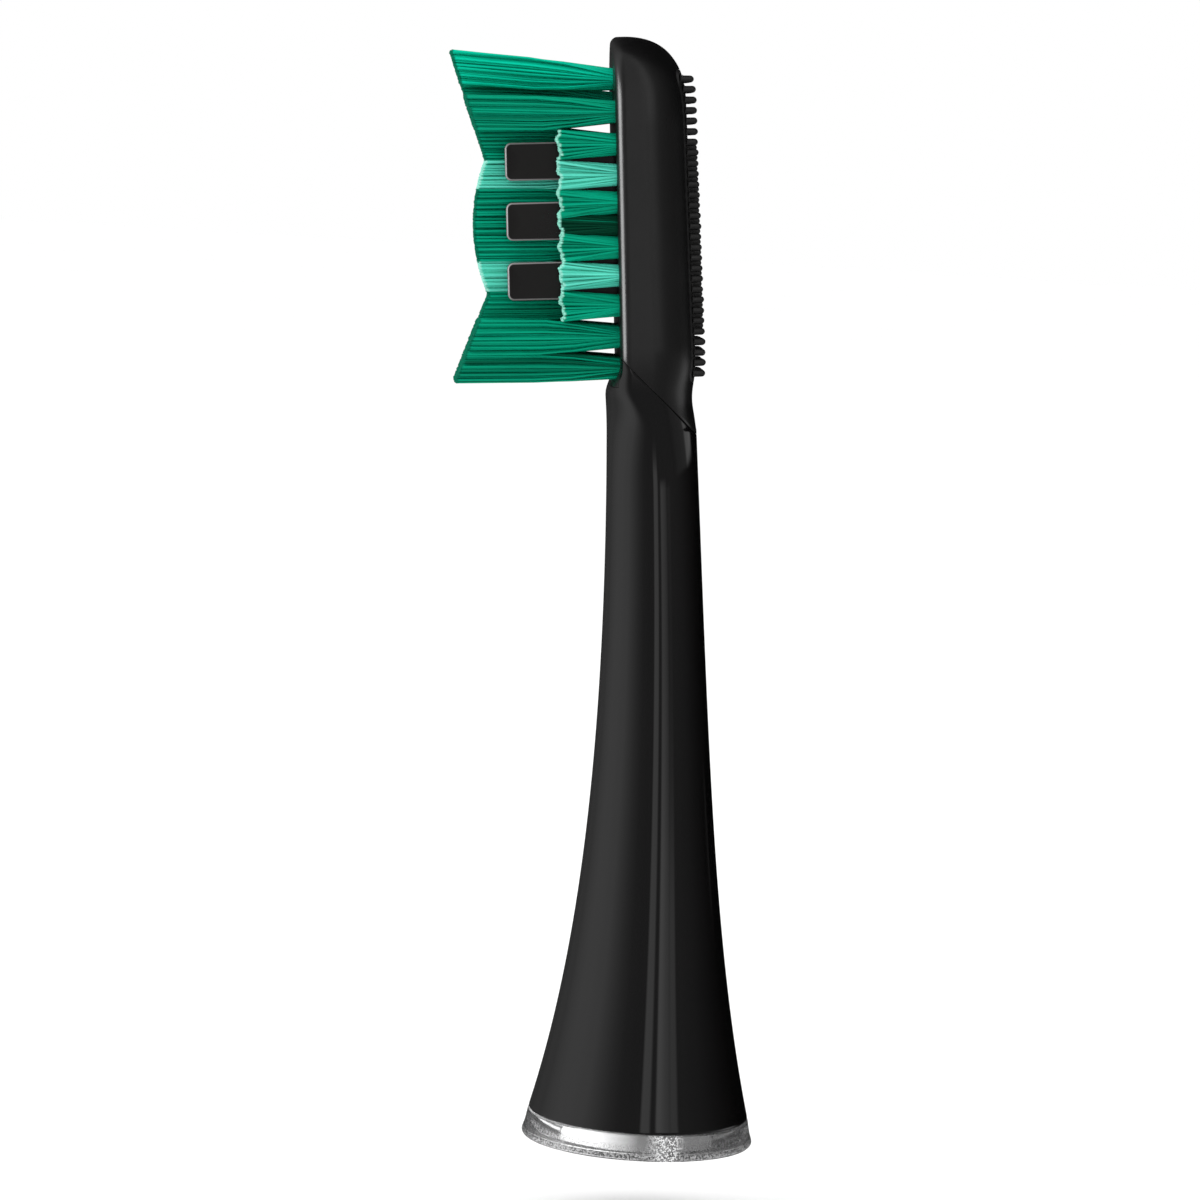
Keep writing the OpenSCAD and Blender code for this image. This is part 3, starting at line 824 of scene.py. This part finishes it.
# ---- face plate
HOLE_R, HOLE_DEPTH = 0.8, 3
# (radius, depth behind the face) down a tuft hole, with a rounded mouth
HOLE_PROFILE = [(HOLE_R + 0.12, -1.0), (HOLE_R + 0.12, -0.06), (HOLE_R + 0.1, 0.0), (HOLE_R, 0.12),
                (HOLE_R, HOLE_DEPTH)]


def make_face_plate():
    """The hard plate between the soft rims, with its tuft holes, and the stem below it."""
    straight = list(np.linspace(s_of(BLOCK_LOW - 1), s_of(ROUND_FROM), 90))
    rings = [placed(section(s), s) for s in straight + crown_stations(4, 30)]
    piece = link(tube_of_rings(rings, "face_plate"), "face_plate")
    combine(piece, "INTERSECT", [prism(block_outline(0), -FACE_ROOM, BLOCK_DEPTH, "plate_form")])
    combine(piece, "UNION", [stem(0, 0, "stem")])
    turn = full_turn(28)
    holes = []
    for _, x, t, *_ in tuft_list():
        rings = [head_to_world(x + r * np.cos(turn), d, t + r * np.sin(turn)) for r, d in HOLE_PROFILE]
        holes.append(tube_of_rings(rings, "hole"))
    combine(piece, "DIFFERENCE", [gathered(holes, bpy.data.meshes.new("holes"))])
    spigot = round_bar(0, AXIS_DEPTH, SPIGOT_R + FIT, (STEM_FOOT - CUT_ROOM, STEM_FOOT + SPIGOT_LEN),
                       "spigot")
    pockets = []
    for side in (-1, 1):
        low, high, half = POLISH_LOW - FIT, POLISH_HIGH + FIT, POLISH_W / 2 + FIT
        corners = [(side * POLISH_X + i * half, t) for i, t in ((-1, low), (1, low), (1, high), (-1, high))]
        pockets.append(prism(corners, -1, POLISH_ROOT + FIT, "pocket"))
    combine(piece, "DIFFERENCE", [gathered(pockets, bpy.data.meshes.new("pockets")), spigot])
    shade(piece.data, FORM_ANGLE)
    dress(piece, FACE, replaces=["head_core"])


# ---- bristles
# heights of the tuft rows on the face, and the tufts' places to each side of its middle
ROWS = [11.05, 8.55, 6.1, 3.8, 1.7, -1.7, -3.8, -6.1, -8.5, -10.9]
COLUMNS = [[1.1], [1.9, 3.9], [0.95], [0.95], [0.95], [0.95], [0.95], [0.95], [1.05, 3.3], [1.05, 3.1]]
CENTRE_TUFTS = {"upper": 9.25, "middle": 0.0}
BETWEEN_X, SHORT_X, SHORT_H = 3.95, 4.2, 4.5
MINT_ROWS = (4, 7)
SHORT_ROWS = range(3, 9)
TOP_ROOM, FOOT_ROOM = 1.0, 0.95  # how far the outermost tufts spread outwards
MIDDLE_ROOM, BETWEEN_ROOM, WIDEST_ROOM = 1.3, 0.8, 1.1
TUFT_R = 0.77
FILAMENT_R = 0.07
PACKING = 1.6  # spacing of the filaments, in filament radii
SWELL = 1.42  # a filament is this much thicker at its tip, to fill the spread
CLOSING_H = 4.8  # height at which neighbouring tufts have spread until they touch
CROWN_H, CROWN_DROP, VALLEY = 10.95, 1.0, 5.1
TOP_RISE, FOOT_RISE = 0.3, 0.42  # slopes of the long tips beyond the valleys
# tones: the top row is painted lighter and the foot row darker, as painted light from above; the tufts
# between the rows get painted shade
BETWEEN_PAINTED_SHADE, PLAIN_SHADE, TOP_ROW_PAINTED_LIGHT, FOOT_ROW_PAINTED_SHADE = 0.06, 0.36, 0.82, 0.2
DEEP_SPREAD, SHADE_SPREAD, LEAST_SHADE = 0.04, 0.075, 0.15
LONG_CUTS, SHORT_CUT = (0.03, 0.13), 0.022  # how unevenly the tips are cut
SWAY = 0.05  # and how far they stray
TIP_LEN = 0.3
ROOT_DEPTH = 0.7  # a filament starts this deep in its hole
WIDENING = 0.22  # a tuft's tips spread sideways by this share of its radius
UNSETTLED = 0.12  # and its roots stray by this share of their spacing
SQUARED = 0.94  # how far across a tuft its spread still widens towards a square


def tip_height(t):
    """The long tips make a low crown between two rising ends."""
    if t > VALLEY:
        return CROWN_H - CROWN_DROP + TOP_RISE * (t - VALLEY)
    if t < -VALLEY:
        return CROWN_H - CROWN_DROP - FOOT_RISE * (t + VALLEY)
    return CROWN_H - CROWN_DROP * (t / VALLEY) ** 2


def short_height(t):
    """The short tips end in a slightly wavy line."""
    return SHORT_H - 0.1 + 0.12 * math.sin(3.1 * t) + 0.07 * math.sin(7.7 * t + 1)


def tuft_lean(t):
    """The tufts lean towards the head's top, most of all at its end."""
    return math.radians(0.8 + 5.4 * (max(0.0, t - 6) / 5) ** 2)


def tip_of(t):
    """The height on the head that a tuft's middle filament reaches."""
    return t + tip_height(t) * math.tan(tuft_lean(t))


def tuft_list():
    """(name, x, t, short, mint, room below, room above), with the room that a tuft spreads into."""
    tips = [tip_of(t) for t in ROWS]
    edges = [tips[0] + TOP_ROOM] + [(a + b) / 2 for a, b in zip(tips, tips[1:])] + [tips[-1] - FOOT_ROOM]
    upper = tip_of(CENTRE_TUFTS["upper"])
    edges[1] = (tips[0] + upper) / 2
    found = [("tuft_centre_upper", 0.0, CENTRE_TUFTS["upper"], False, False, WIDEST_ROOM, edges[1] - upper),
             ("tuft_centre_middle", 0.0, CENTRE_TUFTS["middle"], False, False, MIDDLE_ROOM, MIDDLE_ROOM)]
    for i, t in enumerate(ROWS):
        below, above, mint = tips[i] - edges[i + 1], edges[i] - tips[i], i + 1 in MINT_ROWS
        above = TOP_ROOM if i == 1 else above
        for side, word in SIDES:
            for x, column in zip(COLUMNS[i], ("inner", "outer")):
                found.append((f"tuft_row{i + 1}_{word}_{column}", side * x, t, False, mint, below, above))
            if i + 1 in SHORT_ROWS:
                rooms = [min(WIDEST_ROOM, gap / 2) for gap in (t - ROWS[i + 1], ROWS[i - 1] - t)]
                found.append((f"tuft_row{i + 1}_{word}_short", side * SHORT_X, t, True, mint, *rooms))
    for side, word in SIDES:
        found.append((f"tuft_between_{word}", side * BETWEEN_X, 0.0, True, False, BETWEEN_ROOM, BETWEEN_ROOM))
    return found


def packed_disc(radius, spacing):
    """Places on a turned triangular grid inside a circle, a little unsettled."""
    spots = []
    turn = random.uniform(0, math.pi)
    reach = int(radius / spacing) + 2
    for j in range(-reach, reach + 1):
        for i in range(-reach, reach + 1):
            u, v = (i + 0.5 * (j % 2)) * spacing, j * spacing * math.sqrt(3) / 2
            if math.hypot(u, v) <= radius:
                x = u * math.cos(turn) - v * math.sin(turn) + random.uniform(-1, 1) * spacing * UNSETTLED
                y = u * math.sin(turn) + v * math.cos(turn) + random.uniform(-1, 1) * spacing * UNSETTLED
                spots.append((x, y))
    return spots


def filament(verts, faces, marks, path, radius, sides, tone):
    """Adds one round filament along path, with a round tip."""
    frames = []
    spin = random.uniform(0, math.pi)
    count = len(path)
    for k, p in enumerate(path):
        ahead = path[min(k + 1, count - 1)] - path[max(k - 1, 0)]
        ahead = ahead / np.linalg.norm(ahead)
        side_a = np.cross(ahead, [0.0, 0.0, 1.0])
        side_a /= np.linalg.norm(side_a)
        frames.append((p, side_a, np.cross(ahead, side_a), ahead))
    p, a, b, ahead = frames[-1]
    rings = [(q, sa, sb, radius * mix(1, SWELL, k / (count - 1)), 0.9 * k / (count - 1))
             for k, (q, sa, sb, _) in enumerate(frames[:-1])]
    full = radius * SWELL
    rings.append((p - ahead * TIP_LEN, a, b, full, 0.9))
    rings.append((p - ahead * full * 0.8, a, b, full, 0.985))
    rings.append((p - ahead * full * 0.25, a, b, full * 0.72, 1.0))
    start = len(verts)
    for q, sa, sb, r, along in rings:
        for i in range(sides):
            w = spin + 2 * math.pi * i / sides
            verts.append(q + (sa * math.cos(w) + sb * math.sin(w)) * r)
            marks.append((tone, along))
    for k in range(len(rings) - 1):
        for i in range(sides):
            j = (i + 1) % sides
            base = start + k * sides
            faces.append((base + i, base + j, base + sides + j, base + sides + i))
    top = start + (len(rings) - 1) * sides
    verts.append(p)
    marks.append((tone, 1.0))
    faces.extend((top + i, top + (i + 1) % sides, len(verts) - 1) for i in range(sides))
    faces.append(tuple(start + i for i in reversed(range(sides))))


def filament_path(x0, t0, ux, ut, short, below, above, sway, cut):
    """Points of one filament: straight in its hole, then spreading until the tufts touch."""
    lean = math.tan(tuft_lean(t0))
    squared = math.sqrt(1 - min(SQUARED, abs(ux)) ** 2)
    wide = max(-1.0, min(1.0, ut / squared))
    room = above if wide > 0 else below
    end_t = t0 + (SHORT_H if short else tip_height(t0)) * lean + wide * room
    height = (short_height(end_t) if short else tip_height(end_t)) - cut
    points = []
    for depth, share in ((ROOT_DEPTH, 0.0), (0.0, 0.0), (0.0, 0.3), (0.0, 0.52), (0.0, 1.0)):
        h = share * height
        spread = min(1.0, h / CLOSING_H)
        x = x0 + ux * TUFT_R * (1 + WIDENING * spread) + sway[0] * spread * share
        t = t0 + h * lean + mix(ut * TUFT_R, wide * room, spread) + sway[1] * spread * share
        points.append(head_to_world(x, depth - h, t))
    return points


def make_tuft(name, x0, t0, short, mint, below, above):
    """One tuft of filaments, in place of its solid post; see tuft_list for the values."""
    verts, faces, marks = [], [], []
    # the tufts between the rows get a darker tone: painted shade, as they sit recessed between their
    # neighbours
    deep = "between" in name
    # painted light on the top row, painted shade on the foot row
    tone_at = BETWEEN_PAINTED_SHADE if deep else TOP_ROW_PAINTED_LIGHT if t0 > 10 else FOOT_ROW_PAINTED_SHADE if t0 < -10 else PLAIN_SHADE
    tone_spread, least = (DEEP_SPREAD, 0.0) if deep else (SHADE_SPREAD, LEAST_SHADE)
    reach = TUFT_R - FILAMENT_R
    for dx, dt in packed_disc(reach, PACKING * FILAMENT_R):
        sway = (random.gauss(0, SWAY), random.gauss(0, SWAY))
        cut = random.gauss(0, SHORT_CUT) if short else random.uniform(*LONG_CUTS)
        path = filament_path(x0, t0, dx / reach, dt / reach, short, below, above, sway, cut)
        tone = min(1.0, max(least, random.gauss(tone_at, tone_spread)))
        filament(verts, faces, marks, path, FILAMENT_R * random.uniform(0.94, 1.06), 6, tone)
    mesh = mesh_of(verts, faces, name)
    for column, key in enumerate(("shade", "along")):
        mesh.attributes.new(key, "FLOAT", "POINT").data.foreach_set("value", [m[column] for m in marks])
    shade(mesh, 60)
    piece = link(mesh, name.replace("tuft", "bristles"))
    material = MINT if mint else GREEN_SHORT if short else GREEN
    dress(piece, material, replaces=[name])


# ---- clear ring
def ring_profile():
    """(r, z) round the ring's section: bore, foot, lip, slanted side, shoulder and collar."""
    foot_r, top, bore, collar_r, collar_top = ring_high[0], 1.95, 6.2, 6.85, ring_high[2]
    shoulder, lip_h, lip_round = 8.62, 0.62, 0.3
    pts = [(bore, 0.12), (bore + 0.12, 0.0)]
    pts += [(foot_r - lip_round + lip_round * math.cos(a), lip_round + lip_round * math.sin(a))
            for a in np.linspace(-math.pi / 2, math.pi / 2 * 0.55, 12)]
    pts += [(foot_r - 0.085, lip_h), (foot_r - 0.12, lip_h + 0.05)]
    for u in np.linspace(0.1, 1, 8):
        pts.append((mix(foot_r - 0.13, shoulder, u ** 0.85), mix(lip_h + 0.08, top - 0.05, u)))
    pts += [(shoulder - 0.05, top), (collar_r + 0.06, top), (collar_r, top + 0.06)]
    pts += [(collar_r, collar_top - 0.12), (collar_r - 0.12, collar_top), (bore + 0.12, collar_top)]
    return pts + [(bore, collar_top - 0.12)]


def make_ring():
    piece = link(lathe(ring_profile(), "clear_marker_ring", 192), "clear_marker_ring")
    shade(piece.data, 28)
    dress(piece, CLEAR, body="base_ring", replaces=["base_ring"])


# ---- carried-over CAD nodes
def finish_cad_nodes():
    """Finishes for the hidden nodes that are shown as the CAD has them."""
    finishes = {"drive_socket": ACETAL, "shaft_clip": STEEL, "tuft_anchors": BRASS}
    for name, material in finishes.items():
        slots = NODES[name].material_slots
        if not slots:
            NODES[name].data.materials.append(material)
        for place in slots:
            place.material = material


# ---- studio
CAMERA_AZIMUTH, CAMERA_ELEVATION, CAMERA_ROLL = 87.2, 5.32, 3.4
CAMERA_DISTANCE, CAMERA_LENS, SENSOR_W, AIM_Y, AIM_DROP = 361.2, 140, 36, -0.16, 0.65

# what glossy surfaces see round them: (degrees to the right of the camera, brightness)
SOFT_LIGHTS = [(-180, 0.01), (-150, 0.1), (-125, 0.28), (-95, 0.78), (-80, 0.9), (-61, 0.89), (-46, 0.62),
               (-34, 0.41), (-22, 0.27), (-10, 0.235), (20, 0.24), (52, 0.23), (72, 0.17), (90, 0.09),
               (110, 0.03), (130, 0.005), (180, 0.0)]
# strips of light: (stops as above, the upward share of a direction where the strip starts and is full)
STRIP_LIGHTS = [([(1.6, 0.0), (3.8, 0.72), (11.4, 0.66), (13.8, 0.0)], -0.6, -0.12),
                ([(18.0, 0.0), (20.2, 0.98), (24, 0.88), (29, 0.6), (33, 0.3), (35, 0.0)], -0.1, 0.07),
                ([(29, 0.0), (34, 0.24), (36, 0.5), (42, 0.46), (44.5, 0.0)], -0.01, 0.09),
                ([(60, 0.0), (70, 0.1), (98, 0.25), (104, 0.85), (120, 0.8), (127, 0.0)], -0.02, -0.07)]

AMBIENT = 1.04  # brightness of the light from all round that matt surfaces get
# name, degrees right of the camera, degrees up, distance and size in mm, brightness
KEY_LIGHT = ("key", -72, 48, 700, 480, 2.6)
EDGE_LIGHT = ("edge_left", -62, 5, 600, 420, 12)
EDGE_LIT = ("soft_strip_left", "soft_strip_right", "head_soft_cover")
FLOOR_DROP = 6.6  # the floor lies this far below the foot, clear of the pulled ring
# painted light and shade, seen only through the clear ring: brighter than white to the camera's left, dark
# grey to its right
RING_VIEW_PAINTED_LIGHT, RING_VIEW_PAINTED_SHADE = 1.15, 0.15  # the floor's brightness through the ring, at each end of
SEEN_FROM, SEEN_TO = -4.5, 0.8  # this stretch along the camera's right


def floor_finish():
    """White; seen through the clear ring it carries painted light to the camera's left and painted shade
    towards its right.
    """
    f = Finish("studio_floor")
    f.set(Roughness=0.7, Specular_IOR_Level=0.0)
    x, y, _ = f.parts(f.place())
    a = math.radians(CAMERA_AZIMUTH)
    right = f.math("ADD", f.math("MULTIPLY", x, math.cos(a)), f.math("MULTIPLY", y, math.sin(a)))
    through = f.node("ShaderNodeLightPath").outputs["Is Transmission Ray"]
    plain = f.ramp(f.noise(30, 2), [(0.3, (0.96, 0.96, 0.96)), (0.7, (0.98, 0.98, 0.98))])
    # painted light and shade for transmission rays only
    seen = f.range(right, RING_VIEW_PAINTED_LIGHT, RING_VIEW_PAINTED_SHADE, SEEN_FROM * MM, SEEN_TO * MM)
    f.feed("Base Color", f.blend(through, plain, seen))
    return f.material


def make_floor():
    rings = [(r, -FLOOR_DROP) for r in (0.01, 60, 250, 1000, 4000)]
    floor = link(lathe(rings, "floor", 96, closed=False), "floor")
    shade(floor.data, 60)
    floor.data.materials.append(floor_finish())
    floor.visible_glossy = False


def all_round(levels):
    """Ramp stops for brightness at angles from -180 to 180 degrees."""
    return [((angle + 180) / 360, (level, level, level)) for angle, level in levels]


def make_world():
    """White to the camera, and soft boxes and strips of light to glossy surfaces."""
    world = bpy.data.worlds.new("studio")
    bpy.context.scene.world = world
    world.use_nodes = True
    sky = Nodes(world.node_tree)
    x, y, z = sky.parts(sky.node("ShaderNodeTexCoord").outputs["Generated"])
    azimuth = sky.math("ARCTAN2", x, sky.math("MULTIPLY", y, -1.0))
    turned = sky.math("SUBTRACT", azimuth, math.radians(CAMERA_AZIMUTH))
    share = sky.math("FRACT", sky.math("ADD", sky.math("MULTIPLY", turned, 1 / (2 * math.pi)), 1.5))
    seen_in_gloss = sky.ramp(share, all_round(SOFT_LIGHTS))
    for stops, low, high in STRIP_LIGHTS:
        strip = sky.math("MULTIPLY", sky.ramp(share, all_round(stops)),
                         sky.range(z, 0, 1, low, high, "SMOOTHSTEP"))
        seen_in_gloss = sky.math("ADD", seen_in_gloss, strip)
    path = sky.node("ShaderNodeLightPath")
    glossy, diffuse = path.outputs["Is Glossy Ray"], path.outputs["Is Diffuse Ray"]
    plain = sky.math("SUBTRACT", 1.0, sky.math("MULTIPLY", diffuse, 1 - AMBIENT))
    rest = sky.math("MULTIPLY", plain, sky.math("SUBTRACT", 1.0, glossy))
    strength = sky.math("ADD", rest, sky.math("MULTIPLY", seen_in_gloss, glossy))
    ground = sky.tree.nodes["Background"]
    ground.inputs["Color"].default_value = (1, 1, 1, 1)
    sky.join(strength, ground.inputs["Strength"])


def from_centre(azimuth, elevation):
    """The direction to the right of the camera by azimuth and above the horizon, in degrees."""
    a, e = math.radians(CAMERA_AZIMUTH + azimuth), math.radians(elevation)
    return Vector((math.sin(a) * math.cos(e), -math.cos(a) * math.cos(e), math.sin(e)))


def aimed(thing, goal, away, distance, roll=0.0):
    """Puts a lamp or camera at a distance from its goal and turns it there; roll is in degrees."""
    thing.location = goal + away * distance * MM
    thing.rotation_mode = "QUATERNION"
    spin = Quaternion((0, 0, 1), math.radians(roll))
    thing.rotation_quaternion = (-away).to_track_quat("-Z", "Y") @ spin
    return thing


def soft_box(name, azimuth, elevation, distance, size, brightness, centre):
    """A square light panel that faces the object."""
    data = bpy.data.lights.new(name, "AREA")
    data.shape, data.size = "SQUARE", size * MM
    data.energy = brightness * math.pi * (size * MM) ** 2
    return aimed(link(data, name), centre, from_centre(azimuth, elevation), distance)


def make_edge_light(centre):
    """A soft box that only the satin pieces receive; it draws a line of light along their edges."""
    satin = bpy.data.collections.new("satin_pieces")
    for name in EDGE_LIT:
        satin.objects.link(bpy.data.objects[name])
    soft_box(*EDGE_LIGHT, centre).light_linking.receiver_collection = satin


def make_camera(centre):
    data = bpy.data.cameras.new("camera")
    data.lens, data.sensor_width = CAMERA_LENS, SENSOR_W
    data.clip_start, data.clip_end = 0.01, 20
    aim = centre + Vector((0, AIM_Y, -AIM_DROP)) * MM
    away = from_centre(0, CAMERA_ELEVATION)
    bpy.context.scene.camera = aimed(link(data, "camera"), aim, away, CAMERA_DISTANCE, CAMERA_ROLL)


def make_studio():
    centre = (cad_box[0] + cad_box[1]) / 2
    make_camera(centre)
    make_floor()
    make_world()
    soft_box(*KEY_LIGHT, centre).visible_glossy = False
    make_edge_light(centre)
    view = bpy.context.scene.view_settings
    view.view_transform, view.look = "Standard", "None"


# ---- build
make_neck()
make_cover()
make_tongue_cleaner()
make_polishing_strips()
make_face_plate()
for tuft in tuft_list():
    make_tuft(*tuft)
make_ring()
finish_cad_nodes()
make_studio()
